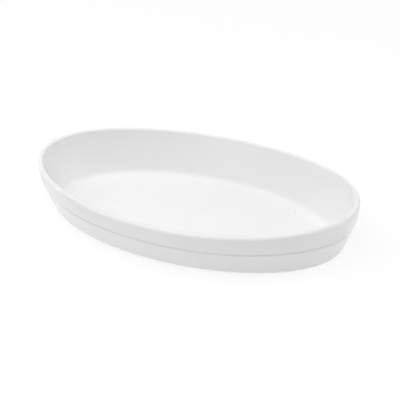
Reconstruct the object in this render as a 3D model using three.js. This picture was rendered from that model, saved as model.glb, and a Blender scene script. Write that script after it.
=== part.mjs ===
// Oval baking dish in white glazed ceramic: one fired piece with no moving parts.
// Millimetres, +Z up. The origin lies on the surface that the dish stands on, under its middle.
// +X runs along the length. The wall is drawn as one profile, turned round, and drawn out to the oval.

import * as THREE from 'three';

// Overall size over the rim. The rim is lowest at the middle of each long side and climbs to both ends.
const LENGTH = 330;
const WIDTH = 181;
const HEIGHT = 55;
const RIM_DIP = 5.8;

// Lip: the crest of the rim, rounded more generously on its outer side.
const LIP_THICKNESS = 4.8;
const LIP_OUTER_RADIUS = 2.6;
const LIP_INNER_RADIUS = 1.4;

// Raised band below the lip, gently crowned. It stands out a little from the line of the wall.
const BAND_HEIGHT = 18;
const BAND_TOP_LEAN = 0;
const BAND_LOW_LEAN = 15;
const BAND_CROWN_RADIUS = 46;
const BAND_STEP = 0.5;
const BAND_EDGE_RADIUS = 0.8;

// Shallow groove under the band. It is deepest just below the band and runs out at the wall's shoulder.
const GROOVE_WIDTH = 3;
const GROOVE_DEPTH = 0.4;
const GROOVE_DROP = 1;
const GROOVE_RADIUS = 0.6;
const SHOULDER_RADIUS = 0.8;

// Wall below the band and the heel, the large rounding from the wall to the foot.
const WALL_LEAN = 18;
const HEEL_RADIUS = 12;

// Inside of the dish. It leans more than the outside, so the wall grows thicker from the lip to the base.
const INSIDE_LEAN = 22;
const INSIDE_FILLET_RADIUS = 9;
const BASE_THICKNESS = 5;

// Foot: a flat unglazed ring to stand on, round a shallow hollow in the underside.
const FOOT_WIDTH = 8;
const FOOT_RELIEF = 0.8;
const FOOT_SLOPE = 45;
const FOOT_EDGE_RADIUS = 0.8;
const FOOT_FILLET_RADIUS = 1.6;

// Fineness of the facets: steps round the oval, and the most that one step of a rounding may turn.
const STEPS_ROUND = 112;
const ARC_STEP = 18;

const GLAZE = { color: 0xf3f3f1, roughness: 0.2, metalness: 0 };

const slope = (degrees) => Math.tan(THREE.MathUtils.degToRad(degrees));
const sideHeight = HEIGHT - RIM_DIP;
const floorHeight = FOOT_RELIEF + BASE_THICKNESS;

// One corner of the profile: its inset from the edge of the rim, its height and the radius that rounds it.
function corner(inset, height, radius = 0) {
  return { at: new THREE.Vector2(WIDTH / 2 - inset, height), radius };
}

// How far a rounding of radius 1 reaches along the two edges that meet at a corner.
function reachOfRounding(before, at, after) {
  const back = before.clone().sub(at).normalize();
  const ahead = after.clone().sub(at).normalize();
  const opening = Math.acos(THREE.MathUtils.clamp(back.dot(ahead), -1, 1));
  return 1 / Math.tan(opening / 2);
}

// Points of a line through the corners, each corner rounded by its radius.
// A rounding is limited where two of them would need more than the whole edge between them.
function roundedLine(corners) {
  const last = corners.length - 1;
  const reach = corners.map(({ at, radius }, i) => {
    const ends = i === 0 || i === last;
    return ends ? 0 : radius * reachOfRounding(corners[i - 1].at, at, corners[i + 1].at);
  });
  const fit = (i) => {
    const edge = corners[i].at.distanceTo(corners[i + 1].at);
    return Math.min(1, edge / (reach[i] + reach[i + 1] || edge));
  };
  const points = [corners[0].at];
  for (let i = 1; i < last; i++) {
    const { at, radius } = corners[i];
    const share = Math.min(fit(i - 1), fit(i));
    const back = corners[i - 1].at.clone().sub(at).normalize();
    const ahead = corners[i + 1].at.clone().sub(at).normalize();
    const start = at.clone().addScaledVector(back, share * reach[i]);
    const end = at.clone().addScaledVector(ahead, share * reach[i]);
    points.push(...arcBetween(start, end, back, ahead, share * radius));
  }
  points.push(corners[last].at);
  return points;
}

// Points of the arc that leaves one edge at its start and joins the next edge at its end.
function arcBetween(start, end, back, ahead, radius) {
  const side = Math.sign(back.cross(ahead));
  const centre = start.clone().add(new THREE.Vector2(-back.y, back.x).multiplyScalar(side * radius));
  const from = start.clone().sub(centre).angle();
  const turn = Math.PI - back.angleTo(ahead);
  const steps = Math.max(1, Math.ceil(turn / THREE.MathUtils.degToRad(ARC_STEP)));
  const arc = new THREE.EllipseCurve(centre.x, centre.y, radius, radius, from, from - side * turn, side > 0);
  return arc.getPoints(steps);
}

// Profile of the dish from the middle of the underside, up the outside, over the lip,
// to the middle of the floor.
function dishProfile() {
  // The lip's rounding touches the edge of the rim, so the corner that it rounds lies a little outside.
  const topLean = THREE.MathUtils.degToRad(BAND_TOP_LEAN);
  const lipCorner = LIP_OUTER_RADIUS * (1 - Math.tan(topLean) - 1 / Math.cos(topLean));
  const bandMiddle = lipCorner + (BAND_HEIGHT / 2) * slope(BAND_TOP_LEAN);
  const bandEdge = bandMiddle + (BAND_HEIGHT / 2) * slope(BAND_LOW_LEAN);
  const bandFoot = sideHeight - BAND_HEIGHT;
  const wallLine = bandEdge + BAND_STEP;
  const shoulder = wallLine + GROOVE_WIDTH * slope(WALL_LEAN);
  const heel = wallLine + bandFoot * slope(WALL_LEAN);
  const heelReach = HEEL_RADIUS * Math.tan(THREE.MathUtils.degToRad(90 - WALL_LEAN) / 2);
  const footInner = heel + heelReach + FOOT_WIDTH;
  const hollowEdge = footInner + FOOT_RELIEF / slope(FOOT_SLOPE);
  const floorEdge = LIP_THICKNESS + (sideHeight - floorHeight) * slope(INSIDE_LEAN);

  return roundedLine([
    corner(WIDTH / 2, FOOT_RELIEF),
    corner(hollowEdge, FOOT_RELIEF, FOOT_FILLET_RADIUS),
    corner(footInner, 0, FOOT_EDGE_RADIUS),
    corner(heel, 0, HEEL_RADIUS),
    corner(shoulder, bandFoot - GROOVE_WIDTH, SHOULDER_RADIUS),
    corner(shoulder + GROOVE_DEPTH, bandFoot - GROOVE_DROP, GROOVE_RADIUS),
    corner(bandEdge, bandFoot, BAND_EDGE_RADIUS),
    corner(bandMiddle, sideHeight - BAND_HEIGHT / 2, BAND_CROWN_RADIUS),
    corner(lipCorner, sideHeight, LIP_OUTER_RADIUS),
    corner(LIP_THICKNESS, sideHeight, LIP_INNER_RADIUS),
    corner(floorEdge, floorHeight, INSIDE_FILLET_RADIUS),
    corner(WIDTH / 2, floorHeight),
  ]);
}

// Draws a turned dish out to the oval along X, and lifts its rim towards the two ends.
// The lift grows with the square of the height above the floor, so the floor and the foot stay flat.
function drawOutToOval(turned) {
  const position = turned.getAttribute('position');
  const point = new THREE.Vector3();
  for (let i = 0; i < position.count; i++) {
    point.fromBufferAttribute(position, i);
    const radius = Math.hypot(point.x, point.z);
    const alongX = radius > 0 ? point.x / radius : 0;
    const share = Math.max(0, point.y - floorHeight) / (sideHeight - floorHeight);
    const lift = RIM_DIP * share ** 2 * alongX ** 2;
    position.setXYZ(i, point.x + alongX * (LENGTH - WIDTH) / 2, -point.z, point.y + lift);
  }
  turned.computeVertexNormals();
  return turned;
}

const dish = new THREE.Mesh(
  drawOutToOval(new THREE.LatheGeometry(dishProfile(), STEPS_ROUND)),
  new THREE.MeshStandardMaterial(GLAZE),
);
dish.name = 'dish';

const bakingDish = new THREE.Group();
bakingDish.add(dish);

export default bakingDish;
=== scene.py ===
"""White glazed oval baking dish on a pale studio floor, dressed around its measured frame.

Metres, +Z up, in the frame of the construction: the origin lies on the floor under the middle of
the dish, and +X runs along its length.
"""

import logging
import math
from collections.abc import Mapping, Sequence
from dataclasses import dataclass, replace
from enum import Enum
from functools import cached_property

import bpy
from mathutils import Matrix, Vector


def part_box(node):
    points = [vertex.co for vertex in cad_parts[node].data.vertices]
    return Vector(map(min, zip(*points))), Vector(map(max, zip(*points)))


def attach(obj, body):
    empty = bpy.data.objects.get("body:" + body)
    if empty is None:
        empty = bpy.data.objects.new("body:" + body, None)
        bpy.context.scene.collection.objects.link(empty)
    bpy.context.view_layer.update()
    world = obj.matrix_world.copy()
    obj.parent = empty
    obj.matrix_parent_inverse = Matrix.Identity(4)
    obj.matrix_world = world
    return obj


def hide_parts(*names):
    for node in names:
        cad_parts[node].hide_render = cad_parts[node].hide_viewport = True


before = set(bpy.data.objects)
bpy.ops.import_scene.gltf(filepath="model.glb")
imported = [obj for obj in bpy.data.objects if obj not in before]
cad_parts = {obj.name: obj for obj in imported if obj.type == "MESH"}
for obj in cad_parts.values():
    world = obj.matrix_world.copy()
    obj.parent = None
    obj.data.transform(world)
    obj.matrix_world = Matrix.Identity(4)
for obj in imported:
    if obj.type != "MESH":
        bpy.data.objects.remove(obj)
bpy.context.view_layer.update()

log = logging.getLogger("baking_dish")

MM = 0.001
DISH_NODE = "dish"
DISH_BODY = "root"

Colour = tuple[float, float, float]
Place = tuple[float, float, float]
Range = tuple[float, float]
Face = tuple[int, ...]
Socket = bpy.types.NodeSocket
Feed = Socket | float | Colour | Place

WHITE: Colour = (1.0, 1.0, 1.0)

# Nearly all values of a noise lie in this range.
NOISE_RANGE: Range = (0.3, 0.7)

# Share of a speck's radius inside which it is at its darkest.
SPECK_CORE = 0.6


class Zone(Enum):
    """Finish of a stretch of the dish's surface; the value is its material slot."""

    GLAZED = 0
    BARE = 1


class Mask(Enum):
    """Places where the glaze runs thin, and corners darkened by painted shade; the value names the
    mesh attribute.
    """

    THIN = "thin_glaze"
    # Painted shade: darkens the creases and corners where shade falls.
    CREASE_SHADE = "painted_crease_shade"


def add_to_scene(name: str, data: bpy.types.ID) -> bpy.types.Object:
    """Makes an object and links it to the scene.

    Args:
        name: Name of the object.
        data: Its mesh, light or camera.

    Returns:
        The object.
    """
    made = bpy.data.objects.new(name, data)
    bpy.context.scene.collection.objects.link(made)
    return made


def angles_round(steps: int) -> list[float]:
    """Divides a full turn into even steps."""
    return [math.tau * i / steps for i in range(steps)]


def direction(azimuth: float, elevation: float) -> Vector:
    """Points from the dish to a place around it.

    Args:
        azimuth: Angle round the dish in degrees; 0 faces the long side at -Y, 90 the end at +X.
        elevation: Angle above the floor in degrees.

    Returns:
        The direction, of length 1.
    """
    around = math.radians(azimuth)
    above = math.radians(elevation)
    level = Vector((math.sin(around), -math.cos(around), 0.0))
    return level * math.cos(above) + Vector((0.0, 0.0, math.sin(above)))


@dataclass(frozen=True)
class Corner:
    """A corner of the dish's profile before it is rounded.

    The inset is measured from the edge of the rim. thin says how far the glaze draws back from the
    rounded corner, and the share after it how much painted shade darkens the corner, from 0 to 1.
    """

    inset: float
    height: float
    radius: float = 0.0
    thin: float = 0.0
    crease_shade: float = 0.0

    @property
    def place(self) -> Vector:
        """Place in the profile's plane, with the distance inwards counted as negative."""
        return Vector((-self.inset, self.height))


@dataclass(frozen=True)
class ProfilePoint:
    """A point of the finished profile, with the masks that its ring of the surface carries."""

    place: Vector
    thin: float = 0.0
    # Share of painted shade that darkens the ring.
    crease_shade: float = 0.0


@dataclass(frozen=True)
class RoundedLine:
    """A line through corners, each of them rounded by its own radius.

    Two neighbouring roundings have to fit on the edge between them.
    """

    corners: Sequence[Corner]
    arc_step: float
    edge_step: float
    least_arc_steps: int = 4

    def _edge(self, start: Vector, end: Vector) -> list[ProfilePoint]:
        """Divides a straight edge.

        Args:
            start: Where the edge begins.
            end: Where the edge ends.

        Returns:
            The points strictly between the two ends.
        """
        steps = max(1, math.ceil((end - start).length / self.edge_step))
        return [ProfilePoint(start.lerp(end, i / steps)) for i in range(1, steps)]

    def _arc(self, index: int) -> list[ProfilePoint]:
        """Rounds one corner.

        Args:
            index: Number of the corner, which lies between two others.

        Returns:
            The points of the arc, both ends included, with masks that fade out towards the ends.
        """
        corner = self.corners[index]
        back = (self.corners[index - 1].place - corner.place).normalized()
        ahead = (self.corners[index + 1].place - corner.place).normalized()
        half_opening = back.angle(ahead) / 2
        to_centre = (back + ahead).normalized() * (corner.radius / math.sin(half_opening))
        spoke = back * (corner.radius / math.tan(half_opening)) - to_centre
        turn = math.copysign(math.pi - 2 * half_opening, back.cross(spoke))
        fine_steps = math.ceil(abs(turn) * corner.radius / self.arc_step)
        steps = max(self.least_arc_steps, fine_steps)
        points = []
        for i in range(steps + 1):
            share = i / steps
            fade = math.sin(math.pi * share)
            place = corner.place + to_centre + Matrix.Rotation(turn * share, 2) @ spoke
            points.append(ProfilePoint(place, corner.thin * fade, corner.crease_shade * fade))
        return points

    def points(self) -> list[ProfilePoint]:
        """Draws the line.

        Returns:
            Its points in order, from the first corner to the last.
        """
        drawn = [ProfilePoint(self.corners[0].place)]
        for index in range(1, len(self.corners) - 1):
            arc = self._arc(index)
            drawn += self._edge(drawn[-1].place, arc[0].place) + arc
        end = self.corners[-1].place
        return drawn + self._edge(drawn[-1].place, end) + [ProfilePoint(end)]


@dataclass(frozen=True)
class DishProfile:
    """Sizes of the dish's wall, and the line that they draw from the underside to the floor."""

    side_height: float
    lip_thickness: float = 4.8 * MM
    lip_outer_radius: float = 2.6 * MM
    lip_inner_radius: float = 1.4 * MM
    band_height: float = 18.0 * MM
    band_top_lean: float = math.radians(0)
    band_low_lean: float = math.radians(15)
    band_crown_radius: float = 46.0 * MM
    band_edge_radius: float = 0.8 * MM
    band_step: float = 0.5 * MM
    groove_width: float = 3.0 * MM
    groove_depth: float = 0.4 * MM
    groove_drop: float = 1.0 * MM
    groove_radius: float = 0.6 * MM
    shoulder_radius: float = 0.8 * MM
    wall_lean: float = math.radians(18)
    heel_radius: float = 12.0 * MM
    inside_lean: float = math.radians(22)
    inside_fillet_radius: float = 9.0 * MM
    base_thickness: float = 5.0 * MM
    foot_width: float = 8.0 * MM
    foot_relief: float = 0.8 * MM
    foot_slope: float = math.radians(45)
    foot_edge_radius: float = 0.8 * MM
    foot_fillet_radius: float = 1.6 * MM
    glaze_line: float = 0.45 * MM
    bead_thickness: float = 0.16 * MM
    bead_reach: float = 0.32 * MM
    flat_margin: float = 6.0 * MM
    arc_step: float = 0.45 * MM
    edge_step: float = 1.1 * MM

    @property
    def floor_height(self) -> float:
        """Height of the inside floor above the surface that the dish stands on."""
        return self.foot_relief + self.base_thickness

    def corners(self) -> list[Corner]:
        """Lays out the profile.

        The lip's rounding touches the edge of the rim, so a leaning band moves the corner that it
        rounds a little outside that edge.

        Returns:
            The corners from the hollow in the underside, up the outside, over the lip and down to
            the floor.
        """
        top_slope = math.tan(self.band_top_lean)
        lip_corner = self.lip_outer_radius * (1 - top_slope - 1 / math.cos(self.band_top_lean))
        band_middle = lip_corner + self.band_height / 2 * top_slope
        band_edge = band_middle + self.band_height / 2 * math.tan(self.band_low_lean)
        band_half_height = self.side_height - self.band_height / 2
        band_foot = self.side_height - self.band_height
        wall_line = band_edge + self.band_step
        wall_slope = math.tan(self.wall_lean)
        shoulder = wall_line + self.groove_width * wall_slope
        heel = wall_line + band_foot * wall_slope
        heel_reach = self.heel_radius * math.tan((math.pi / 2 - self.wall_lean) / 2)
        foot_inner = heel + heel_reach + self.foot_width
        hollow_edge = foot_inner + self.foot_relief / math.tan(self.foot_slope)
        inside_height = self.side_height - self.floor_height
        floor_edge = self.lip_thickness + inside_height * math.tan(self.inside_lean)
        floor_flat = floor_edge + self.inside_fillet_radius + self.flat_margin
        groove = shoulder + self.groove_depth
        # Painted shade darkens the fillet of the hollow, the groove under the band and the inside
        # fillet.
        return [
            Corner(hollow_edge + self.flat_margin, self.foot_relief),
            Corner(hollow_edge, self.foot_relief, self.foot_fillet_radius, crease_shade=0.6),
            Corner(foot_inner, 0.0, self.foot_edge_radius),
            Corner(heel, 0.0, self.heel_radius),
            Corner(shoulder, band_foot - self.groove_width, self.shoulder_radius, thin=0.5),
            Corner(groove, band_foot - self.groove_drop, self.groove_radius, crease_shade=1.0),
            Corner(band_edge, band_foot, self.band_edge_radius, thin=0.8),
            Corner(band_middle, band_half_height, self.band_crown_radius),
            Corner(lip_corner, self.side_height, self.lip_outer_radius, thin=0.6),
            Corner(self.lip_thickness, self.side_height, self.lip_inner_radius, thin=0.4),
            Corner(floor_edge, self.floor_height, self.inside_fillet_radius, crease_shade=0.5),
            Corner(floor_flat, self.floor_height),
        ]

    def zone(self, height: float) -> Zone:
        """Tells the finish at a height: the glaze stops just above what the dish stands on."""
        return Zone.BARE if height < self.glaze_line else Zone.GLAZED

    def _bead(self, height: float) -> float:
        """Measures the bead in which the glaze ends above the bare foot.

        Args:
            height: Height above the surface that the dish stands on.

        Returns:
            How far the bead stands out. It falls off upwards, and the bare clay has none.
        """
        above = (height - self.glaze_line) / self.bead_reach
        return self.bead_thickness * math.exp(-above * above) if above >= 0 else 0.0

    def points(self) -> list[ProfilePoint]:
        """Draws the profile and raises the bead of the glaze on it.

        Returns:
            The points of the profile in order.
        """
        line = RoundedLine(self.corners(), self.arc_step, self.edge_step).points()
        finished = [line[0]]
        for before, point, after in zip(line, line[1:], line[2:]):
            along = (after.place - before.place).normalized()
            outwards = Vector((along.y, -along.x))
            raised = point.place + outwards * self._bead(point.place.y)
            finished.append(replace(point, place=raised))
        return finished + [line[-1]]


class NodeBench:
    """Node tree of a finish or of the surroundings, put together from small steps."""

    def __init__(self, owner: bpy.types.Material | bpy.types.World) -> None:
        """Empties the node tree of a new material or world.

        Args:
            owner: What the nodes belong to.
        """
        owner.use_nodes = True
        self.tree = owner.node_tree
        self.tree.nodes.clear()

    @cached_property
    def places(self) -> Socket:
        """Places on the object, in metres."""
        return self.add("ShaderNodeTexCoord").outputs["Object"]

    def feed(self, socket: Socket, value: Feed) -> None:
        """Puts a link, a number, a colour or a place into a socket.

        Args:
            socket: The input to fill.
            value: Another node's output, a number, a colour or a place.
        """
        if isinstance(value, Socket):
            self.tree.links.new(value, socket)
        elif socket.type == "RGBA":
            socket.default_value = (*value, 1.0)
        else:
            socket.default_value = value

    def add(self, kind: str, inputs: Mapping[str | int, Feed] | None = None,
            **options: str) -> bpy.types.Node:
        """Adds a node and fills its sockets.

        Args:
            kind: Blender's name of the node.
            inputs: What goes into the sockets, by their names or numbers.
            options: Settings of the node.

        Returns:
            The node.
        """
        node = self.tree.nodes.new(kind)
        for name, option in options.items():
            setattr(node, name, option)
        for key, value in (inputs or {}).items():
            self.feed(node.inputs[key], value)
        return node

    def math(self, kind: str, *values: Feed) -> Socket:
        """Works out one step with numbers.

        Args:
            kind: Blender's name of the step.
            values: Outputs or numbers that go in.

        Returns:
            The result.
        """
        node = self.add("ShaderNodeMath", dict(enumerate(values)), operation=kind)
        return node.outputs["Value"]

    def spread(self, value: Socket, source: Range, target: Range) -> Socket:
        """Stretches a range of values over another one.

        Args:
            value: What is stretched.
            source: Start and end of its range.
            target: What the start and the end become.

        Returns:
            The stretched value, kept inside the new range.
        """
        node = self.add("ShaderNodeMapRange", {
            "Value": value,
            "From Min": source[0],
            "From Max": source[1],
            "To Min": target[0],
            "To Max": target[1],
        })
        return node.outputs["Result"]

    def noise(self, size: float, detail: float) -> Socket:
        """Adds an even noise.

        Args:
            size: Distance from one swelling to the next.
            detail: How many finer layers lie in it.

        Returns:
            A value that keeps to the noise's range.
        """
        node = self.add("ShaderNodeTexNoise", {
            "Vector": self.places,
            "Scale": 1 / size,
            "Detail": detail,
        })
        return node.outputs["Fac"]

    def _dot(self, distance: Socket, radius: float) -> Socket:
        """Draws a round dot with a soft edge: 1 in its middle and 0 beside it."""
        return self.spread(distance, (SPECK_CORE * radius, radius), (1.0, 0.0))

    def specks(self, spacing: float, radius: float, share: float) -> Socket:
        """Scatters a few small round specks.

        Args:
            spacing: Distance between the places where a speck may lie.
            radius: Radius of a speck.
            share: Part of the places that hold one.

        Returns:
            1 on a speck and 0 beside it.
        """
        cells = self.add("ShaderNodeTexVoronoi", {"Vector": self.places, "Scale": 1 / spacing})
        dots = self._dot(cells.outputs["Distance"], radius / spacing)
        lots = self.add("ShaderNodeSeparateColor", {"Color": cells.outputs["Color"]})
        chosen = self.math("LESS_THAN", lots.outputs["Red"], share)
        return self.math("MULTIPLY", dots, chosen)

    def speck_at(self, place: Place, radius: float) -> Socket:
        """Sets one speck at a place of its own.

        Args:
            place: Middle of the speck.
            radius: Radius of the speck.

        Returns:
            1 on the speck and 0 beside it.
        """
        away = self.add("ShaderNodeVectorMath", {0: self.places, 1: place}, operation="DISTANCE")
        return self._dot(away.outputs["Value"], radius)

    def mask(self, mask: Mask) -> Socket:
        """Reads one of the mesh's masks.

        Args:
            mask: Which mask it is.

        Returns:
            The mask, from 0 to 1.
        """
        node = self.add("ShaderNodeAttribute", attribute_name=mask.value)
        return node.outputs["Fac"]

    def blend(self, share: Socket, first: Feed, second: Feed) -> Socket:
        """Blends two colours.

        Args:
            share: How much of the second colour shows.
            first: Colour or output where the share is 0.
            second: Colour or output where the share is 1.

        Returns:
            The blended colour.
        """
        node = self.add("ShaderNodeMix", data_type="RGBA")
        sockets = {socket.identifier: socket for socket in (*node.inputs, *node.outputs)}
        self.feed(sockets["Factor_Float"], share)
        self.feed(sockets["A_Color"], first)
        self.feed(sockets["B_Color"], second)
        return sockets["Result_Color"]

    def bump(self, height: Socket, depth: float, under: Socket | None = None) -> Socket:
        """Raises a fine relief.

        Args:
            height: Value that gives the relief.
            depth: Height of the relief from its lowest to its highest value.
            under: Relief that this one lies on.

        Returns:
            The normal of the relief.
        """
        node = self.add("ShaderNodeBump", {"Height": height, "Distance": depth})
        if under is not None:
            self.feed(node.inputs["Normal"], under)
        return node.outputs["Normal"]

    def seen_rays(self) -> Socket:
        """Tells rays that see the background from rays that gather light.

        Returns:
            1 for the rays that see it, straight, in a reflection or through glass, otherwise 0.
        """
        path = self.add("ShaderNodeLightPath").outputs
        reflected = self.math("MAXIMUM", path["Is Glossy Ray"], path["Is Transmission Ray"])
        return self.math("MAXIMUM", path["Is Camera Ray"], reflected)

    def mix(self, share: Socket, first: Socket, second: Socket) -> Socket:
        """Mixes two shaders.

        Args:
            share: How much of the second shader shows.
            first: Shader where the share is 0.
            second: Shader where the share is 1.

        Returns:
            The mixed shader.
        """
        node = self.add("ShaderNodeMixShader", {"Fac": share, 1: first, 2: second})
        return node.outputs["Shader"]

    def surface(self, tone: Socket, rough: Socket, relief: Socket, refraction: float) -> None:
        """Joins the steps of a finish to its shader.

        Args:
            tone: Colour of the surface.
            rough: Roughness of the surface.
            relief: Normal of the surface.
            refraction: Index of refraction of the surface.
        """
        shader = self.add("ShaderNodeBsdfPrincipled", {
            "Base Color": tone,
            "Roughness": rough,
            "Normal": relief,
            "IOR": refraction,
        })
        self.add("ShaderNodeOutputMaterial", {"Surface": shader.outputs["BSDF"]})


@dataclass(frozen=True)
class GlazeFinish:
    """Glossy white oven glaze, thin on edges, with painted shade in its corners and creases.

    Faint clouds, a soft peel and a few specks keep it from looking even. One more speck lies on
    the inside floor, at floor_height and at the X and Y that floor_speck gives.
    """

    floor_height: float
    name: str = "white_glaze"
    colour: Colour = (0.88, 0.88, 0.88)
    cloud_colour: Colour = (0.868, 0.868, 0.869)
    thin_colour: Colour = (0.85, 0.848, 0.842)
    # Painted shade for the corners and creases, a little darker than the glaze.
    crease_shade_colour: Colour = (0.85, 0.853, 0.856)
    speck_colour: Colour = (0.42, 0.40, 0.37)
    roughness: Range = (0.205, 0.255)
    thin_roughness: float = 0.04
    refraction: float = 1.52
    cloud_size: float = 45 * MM
    cloud_range: Range = (0.35, 0.65)
    peel_size: float = 6.5 * MM
    peel_depth: float = 0.035 * MM
    grain_size: float = 0.9 * MM
    grain_depth: float = 0.003 * MM
    speck_spacing: float = 21 * MM
    speck_radius: float = 0.42 * MM
    speck_share: float = 0.16
    floor_speck: tuple[float, float] = (93.2 * MM, 42.5 * MM)
    floor_speck_radius: float = 0.7 * MM

    def material(self) -> bpy.types.Material:
        """Mixes the glaze.

        Returns:
            The material for every glazed face.
        """
        glaze = bpy.data.materials.new(self.name)
        bench = NodeBench(glaze)
        clouds = bench.noise(self.cloud_size, detail=2.0)
        peel = bench.noise(self.peel_size, detail=1.0)
        grain = bench.noise(self.grain_size, detail=2.0)
        scattered = bench.specks(self.speck_spacing, self.speck_radius, self.speck_share)
        speck_place = (*self.floor_speck, self.floor_height)
        on_floor = bench.speck_at(speck_place, self.floor_speck_radius)
        specks = bench.math("MAXIMUM", scattered, on_floor)
        thin = bench.mask(Mask.THIN)
        # Painted shade in the creases and corners.
        crease_shade = bench.mask(Mask.CREASE_SHADE)

        cloudy = bench.spread(clouds, self.cloud_range, (0.0, 1.0))
        tone = bench.blend(cloudy, self.colour, self.cloud_colour)
        # Painted shade darkens the creases.
        tone = bench.blend(crease_shade, tone, self.crease_shade_colour)
        tone = bench.blend(thin, tone, self.thin_colour)
        tone = bench.blend(specks, tone, self.speck_colour)

        rough = bench.spread(peel, NOISE_RANGE, self.roughness)
        rough = bench.math("MULTIPLY_ADD", thin, self.thin_roughness, rough)

        relief = bench.bump(peel, self.peel_depth)
        relief = bench.bump(grain, self.grain_depth, relief)
        bench.surface(tone, rough, relief, self.refraction)
        return glaze


@dataclass(frozen=True)
class BareClayFinish:
    """Unglazed fired clay on the foot: off-white, matt and gritty, greyed where it rubs."""

    name: str = "bare_clay"
    colour: Colour = (0.74, 0.71, 0.66)
    rubbed_colour: Colour = (0.60, 0.58, 0.55)
    roughness: Range = (0.70, 0.82)
    refraction: float = 1.45
    rub_size: float = 14 * MM
    rub_range: Range = (0.5, 0.75)
    rub_share: float = 0.7
    grit_size: float = 0.55 * MM
    grit_depth: float = 0.05 * MM

    def material(self) -> bpy.types.Material:
        """Mixes the bare clay.

        Returns:
            The material for the faces that the glaze leaves free.
        """
        clay = bpy.data.materials.new(self.name)
        bench = NodeBench(clay)
        rubbing = bench.noise(self.rub_size, detail=3.0)
        grit = bench.noise(self.grit_size, detail=3.0)
        rubbed = bench.spread(rubbing, self.rub_range, (0.0, self.rub_share))
        tone = bench.blend(rubbed, self.colour, self.rubbed_colour)
        rough = bench.spread(grit, NOISE_RANGE, self.roughness)
        relief = bench.bump(grit, self.grit_depth)
        bench.surface(tone, rough, relief, self.refraction)
        return clay


@dataclass(frozen=True)
class WarpWave:
    """One wave of the slight warp that firing leaves round the oval."""

    count: int
    share: float
    start: float

    def at(self, angle: float) -> float:
        """Tells how far the wave swings out at an angle, as a share of the warp."""
        return self.share * math.sin(self.count * angle + self.start)


@dataclass(frozen=True)
class Ring:
    """A ring of the dish's surface: one point of the profile, taken round the oval."""

    points: list[Vector]
    source: ProfilePoint

    def drawn_in(self, share: float) -> "Ring":
        """Copies the ring on its own level, drawn in towards the middle."""
        return Ring([Vector((p.x * share, p.y * share, p.z)) for p in self.points], self.source)


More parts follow.
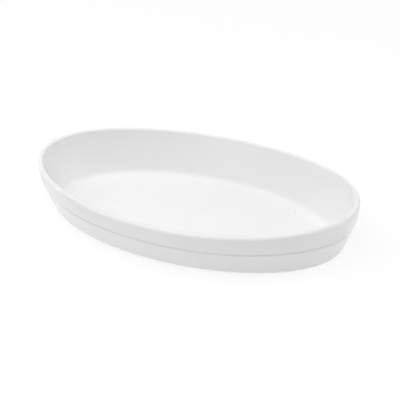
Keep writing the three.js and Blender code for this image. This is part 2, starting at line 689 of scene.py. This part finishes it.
@dataclass
class BakingDish:
    """The fired dish in one piece: its profile taken round the oval.

    The rim is lowest at the middle of each long side and climbs to both ends. flat_rings are the
    shares to which the rings of the flat underside and floor are drawn in towards the middle.
    """

    length: float
    width: float
    height: float
    rim_dip: float = 5.8 * MM
    firing_warp: float = 0.12 * MM
    warp_waves: tuple[WarpWave, ...] = (
        WarpWave(count=3, share=0.6, start=0.7),
        WarpWave(count=5, share=0.4, start=2.1),
    )
    steps_round: int = 288
    flat_rings: tuple[float, ...] = (0.82, 0.62, 0.42, 0.22, 0.08)

    @classmethod
    def from_frame(cls, node: str) -> "BakingDish":
        """Takes the overall size from the frame.

        Args:
            node: Name of the dish in the frame.

        Returns:
            A dish of that size.
        """
        low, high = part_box(node)
        size = high - low
        return cls(length=size.x, width=size.y, height=size.z)

    @property
    def profile(self) -> DishProfile:
        """Profile of the wall at the middle of a long side, where the rim is lowest."""
        return DishProfile(side_height=self.height - self.rim_dip)

    def _point(self, place: Vector, angle: float, profile: DishProfile) -> Vector:
        """Takes a point of the profile to its place on the oval.

        The rim's climb grows with the square of the height above the floor, so the floor and the
        foot stay flat. The warp is strongest half way up and leaves the foot and the rim true.

        Args:
            place: The point, with the distance inwards counted as negative.
            angle: Angle round the oval, from the end at +X.
            profile: The profile that the point is on.

        Returns:
            The point of the dish's surface.
        """
        above_floor = max(0.0, place.y - profile.floor_height)
        climb = above_floor / (profile.side_height - profile.floor_height)
        lift = self.rim_dip * climb ** 2 * math.cos(angle) ** 2
        level = min(1.0, max(0.0, place.y / profile.side_height))
        swing = sum(wave.at(angle) for wave in self.warp_waves)
        out = place.x + self.firing_warp * math.sin(math.pi * level) * swing
        return Vector((
            (self.length / 2 + out) * math.cos(angle),
            (self.width / 2 + out) * math.sin(angle),
            place.y + lift,
        ))

    def _rings(self) -> list[Ring]:
        """Takes every point of the profile round the oval.

        Returns:
            The rings of the surface from the middle of the underside to the middle of the floor.
        """
        profile = self.profile
        angles = angles_round(self.steps_round)
        wall = [
            Ring([self._point(point.place, angle, profile) for angle in angles], point)
            for point in profile.points()
        ]
        underside = [wall[0].drawn_in(share) for share in reversed(self.flat_rings)]
        floor = [wall[-1].drawn_in(share) for share in self.flat_rings]
        return underside + wall + floor

    def _faces(self, rings: Sequence[Ring]) -> tuple[list[Face], list[Zone]]:
        """Joins the rings and closes the two flat middles.

        The points are counted ring by ring, with the middle of the underside and the middle of
        the floor after them.

        Args:
            rings: The rings of the surface in order.

        Returns:
            The faces, as numbers of points, and the finish of each face.
        """
        profile = self.profile
        count = self.steps_round
        sides = [(i, (i + 1) % count) for i in range(count)]
        underside_middle = len(rings) * count
        floor_middle = underside_middle + 1

        faces = [(underside_middle, j, i) for i, j in sides]
        zones = [Zone.GLAZED] * count
        for number, (lower, upper) in enumerate(zip(rings, rings[1:])):
            a = number * count
            b = a + count
            faces += [(a + i, a + j, b + j, b + i) for i, j in sides]
            zones += [profile.zone((lower.source.place.y + upper.source.place.y) / 2)] * count
        last = (len(rings) - 1) * count
        faces += [(floor_middle, last + i, last + j) for i, j in sides]
        zones += [Zone.GLAZED] * count
        return faces, zones

    def build(self) -> bpy.types.Object:
        """Builds the dish as one closed, smooth mesh with its glaze masks.

        Returns:
            The dish, not yet dressed.
        """
        rings = self._rings()
        faces, zones = self._faces(rings)
        points = [point for ring in rings for point in ring.points]
        points += [Vector((0.0, 0.0, ring.points[0].z)) for ring in (rings[0], rings[-1])]

        mesh = bpy.data.meshes.new("baking_dish")
        mesh.from_pydata(points, [], faces)
        mesh.polygons.foreach_set("material_index", [zone.value for zone in zones])
        self._write_mask(mesh, Mask.THIN, [ring.source.thin for ring in rings])
        # Painted shade for the creases and corners.
        self._write_mask(mesh, Mask.CREASE_SHADE, [ring.source.crease_shade for ring in rings])
        mesh.shade_smooth()
        mesh.update()
        return add_to_scene("baking_dish", mesh)

    def _write_mask(self, mesh: bpy.types.Mesh, mask: Mask, levels: Sequence[float]) -> None:
        """Stores one mask on the points of the mesh; it is 0 at the two middles.

        Args:
            mesh: The mesh that carries the mask.
            mask: Which mask it is.
            levels: One number for each ring.
        """
        values = [level for level in levels for _ in range(self.steps_round)] + [0.0, 0.0]
        attribute = mesh.attributes.new(mask.value, "FLOAT", "POINT")
        attribute.data.foreach_set("value", values)

    @staticmethod
    def dress(dish: bpy.types.Object, glaze: GlazeFinish, clay: BareClayFinish) -> None:
        """Gives the dish its two finishes and its place in the frame.

        Args:
            dish: The built dish.
            glaze: Finish of the glazed surface.
            clay: Finish of the bare foot.
        """
        for finish in (glaze, clay):
            dish.data.materials.append(finish.material())
        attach(dish, DISH_BODY)
        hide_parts(DISH_NODE)


@dataclass(frozen=True)
class StudioFloor:
    """Pale sheet of a light table: it looks white, keeps a soft shadow and lets light through.

    The shadow's share fades out away from the dish, so that the sheet's edge doesn't show against
    the surroundings.
    """

    radius: float = 5.0
    steps_round: int = 96
    colour: Colour = (0.80, 0.80, 0.80)
    let_through: Colour = (0.18, 0.18, 0.18)
    shadow_share: float = 0.22
    fade_from: float = 0.6
    fade_to: float = 1.4

    def build(self) -> bpy.types.Object:
        """Lays the floor.

        Returns:
            The floor.
        """
        rim = [
            (self.radius * math.cos(angle), self.radius * math.sin(angle), 0.0)
            for angle in angles_round(self.steps_round)
        ]
        mesh = bpy.data.meshes.new("studio_floor")
        mesh.from_pydata(rim, [], [tuple(range(self.steps_round))])
        mesh.materials.append(self._paper())
        floor = add_to_scene("studio_floor", mesh)
        return floor

    def _paper(self) -> bpy.types.Material:
        """Mixes the paper: lit paper for bounced light, mostly plain white where it is seen.

        Returns:
            The material of the floor.
        """
        paper = bpy.data.materials.new("pale_paper")
        bench = NodeBench(paper)
        bounced = bench.add("ShaderNodeBsdfDiffuse", {"Color": self.colour}).outputs["BSDF"]
        passed = bench.add("ShaderNodeBsdfTranslucent", {"Color": self.let_through}).outputs["BSDF"]
        lit = bench.add("ShaderNodeAddShader", {0: bounced, 1: passed}).outputs["Shader"]
        plain = bench.add("ShaderNodeEmission", {"Color": WHITE, "Strength": 1.0})
        share = bench.math("MULTIPLY", bench.seen_rays(), self._plain_share(bench))
        look = bench.mix(share, lit, plain.outputs["Emission"])
        bench.add("ShaderNodeOutputMaterial", {"Surface": look})
        return paper

    def _plain_share(self, bench: NodeBench) -> Socket:
        """Tells how much of the floor's look is plain white.

        Args:
            bench: The node tree of the floor.

        Returns:
            A share that leaves the shadow in near the dish and grows to 1 away from it.
        """
        away = bench.add("ShaderNodeVectorMath", {0: bench.places}, operation="LENGTH")
        fade = (self.fade_from, self.fade_to)
        return bench.spread(away.outputs["Value"], fade, (1 - self.shadow_share, 1.0))


@dataclass(frozen=True)
class StudioSky:
    """White surroundings: white where they are seen, and an even soft fill as light."""

    fill: float = 0.066

    def build(self) -> bpy.types.World:
        """Sets up the surroundings.

        Returns:
            The world, already in use by the scene.
        """
        world = bpy.data.worlds.new("studio_sky")
        bench = NodeBench(world)
        fill, white = (
            bench.add("ShaderNodeBackground", {"Color": WHITE, "Strength": strength})
            for strength in (self.fill, 1.0)
        )
        look = bench.mix(bench.seen_rays(), fill.outputs["Background"], white.outputs["Background"])
        bench.add("ShaderNodeOutputWorld", {"Surface": look})
        bpy.context.scene.world = world
        return world


@dataclass(frozen=True)
class Softbox:
    """Flat soft light that looks at the dish from a place around it, or from under the sheet.

    The size is its width and height, and its glow says how bright its face is, whatever the size.
    A lamp that isn't mirrored stands for a stretch of the white surroundings, which reflections
    show already.
    """

    name: str
    azimuth: float
    elevation: float
    size: tuple[float, float]
    glow: float
    mirrored: bool = True
    distance: float = 2.4

    def build(self) -> bpy.types.Object:
        """Hangs the softbox.

        Returns:
            The light.
        """
        towards = direction(self.azimuth, self.elevation)
        light = bpy.data.lights.new(self.name, "AREA")
        light.shape = "RECTANGLE"
        light.size, light.size_y = self.size
        light.energy = self.glow * math.pi * light.size * light.size_y
        box = add_to_scene(self.name, light)
        box.visible_glossy = self.mirrored
        box.location = towards * self.distance
        box.rotation_euler = towards.to_track_quat("Z", "Y").to_euler()
        return box


@dataclass(frozen=True)
class PhotoCamera:
    """Camera at the photograph's viewing angle, worked out from the edges of rim, band and foot.

    aim_right and aim_up shift its line of sight away from the origin. The sensor's width is in
    millimetres, as Blender's lenses are.
    """

    azimuth: float = 24.0
    elevation: float = 33.0
    roll: float = -1.86
    distance: float = 0.891
    aim_right: float = 6.44 * MM
    aim_up: float = 20.67 * MM
    focal_pixels: float = 888.3
    picture_pixels: float = 400.0
    sensor: float = 36.0

    def build(self) -> bpy.types.Object:
        """Sets up the camera.

        Returns:
            The camera, already in use by the scene.
        """
        back = direction(self.azimuth, self.elevation)
        level = Vector((0.0, 0.0, 1.0)).cross(back).normalized()
        tilt = Matrix.Rotation(math.radians(self.roll), 3, back)
        right = tilt @ level
        up = tilt @ back.cross(level)
        lens = bpy.data.cameras.new("photo_camera")
        lens.sensor_width = self.sensor
        lens.lens = self.focal_pixels / self.picture_pixels * self.sensor
        camera = add_to_scene("photo_camera", lens)
        turn = Matrix((right, up, back)).transposed().to_4x4()
        place = right * self.aim_right + up * self.aim_up + back * self.distance
        camera.matrix_world = Matrix.Translation(place) @ turn
        bpy.context.scene.camera = camera
        return camera


# The camera stands at azimuth 24, and the lights are set round it. Strips stand low behind the dish.
BACK_STRIPS = {"back_right_strip": 159, "back_strip": 204, "back_left_strip": 249}
SOFTBOXES = (
    Softbox("front_overhead", azimuth=24, elevation=72, size=(2.4, 2.4), glow=1.16, mirrored=False),
    Softbox("left_overhead", azimuth=-21, elevation=72, size=(2.4, 2.4), glow=0.95),
    Softbox("left", azimuth=-66, elevation=50, size=(2.0, 2.0), glow=1.40, mirrored=False),
    Softbox("front_left_low", azimuth=-21, elevation=13, size=(1.0, 1.0), glow=0.925),
    Softbox("right", azimuth=114, elevation=30, size=(1.6, 1.6), glow=2.40),
    Softbox("back_left", azimuth=249, elevation=30, size=(1.6, 1.6), glow=1.03, mirrored=False),
    *(
        Softbox(name, azimuth, elevation=8, size=(1.8, 0.6), glow=1.27, mirrored=False)
        for name, azimuth in BACK_STRIPS.items()
    ),
    Softbox("light_table", azimuth=24, elevation=-90, size=(4.0, 4.0), glow=0.434),
)


def main() -> None:
    """Builds the camera, the dish and the studio, and reports each of them."""
    logging.basicConfig(level=logging.INFO, format="%(name)s: %(message)s")
    bpy.context.scene.view_settings.view_transform = "Standard"
    camera = PhotoCamera().build()
    log.info("camera %s at %.3f m", camera.name, camera.location.length)

    design = BakingDish.from_frame(DISH_NODE)
    dish = design.build()
    glaze = GlazeFinish(floor_height=design.profile.floor_height)
    design.dress(dish, glaze, BareClayFinish())
    log.info("piece %s with %d faces", dish.name, len(dish.data.polygons))

    floor = StudioFloor().build()
    log.info("stage %s", floor.name)
    world = StudioSky().build()
    log.info("surroundings %s", world.name)
    for softbox in SOFTBOXES:
        log.info("light %s", softbox.build().name)


if __name__ == "__main__":
    main()
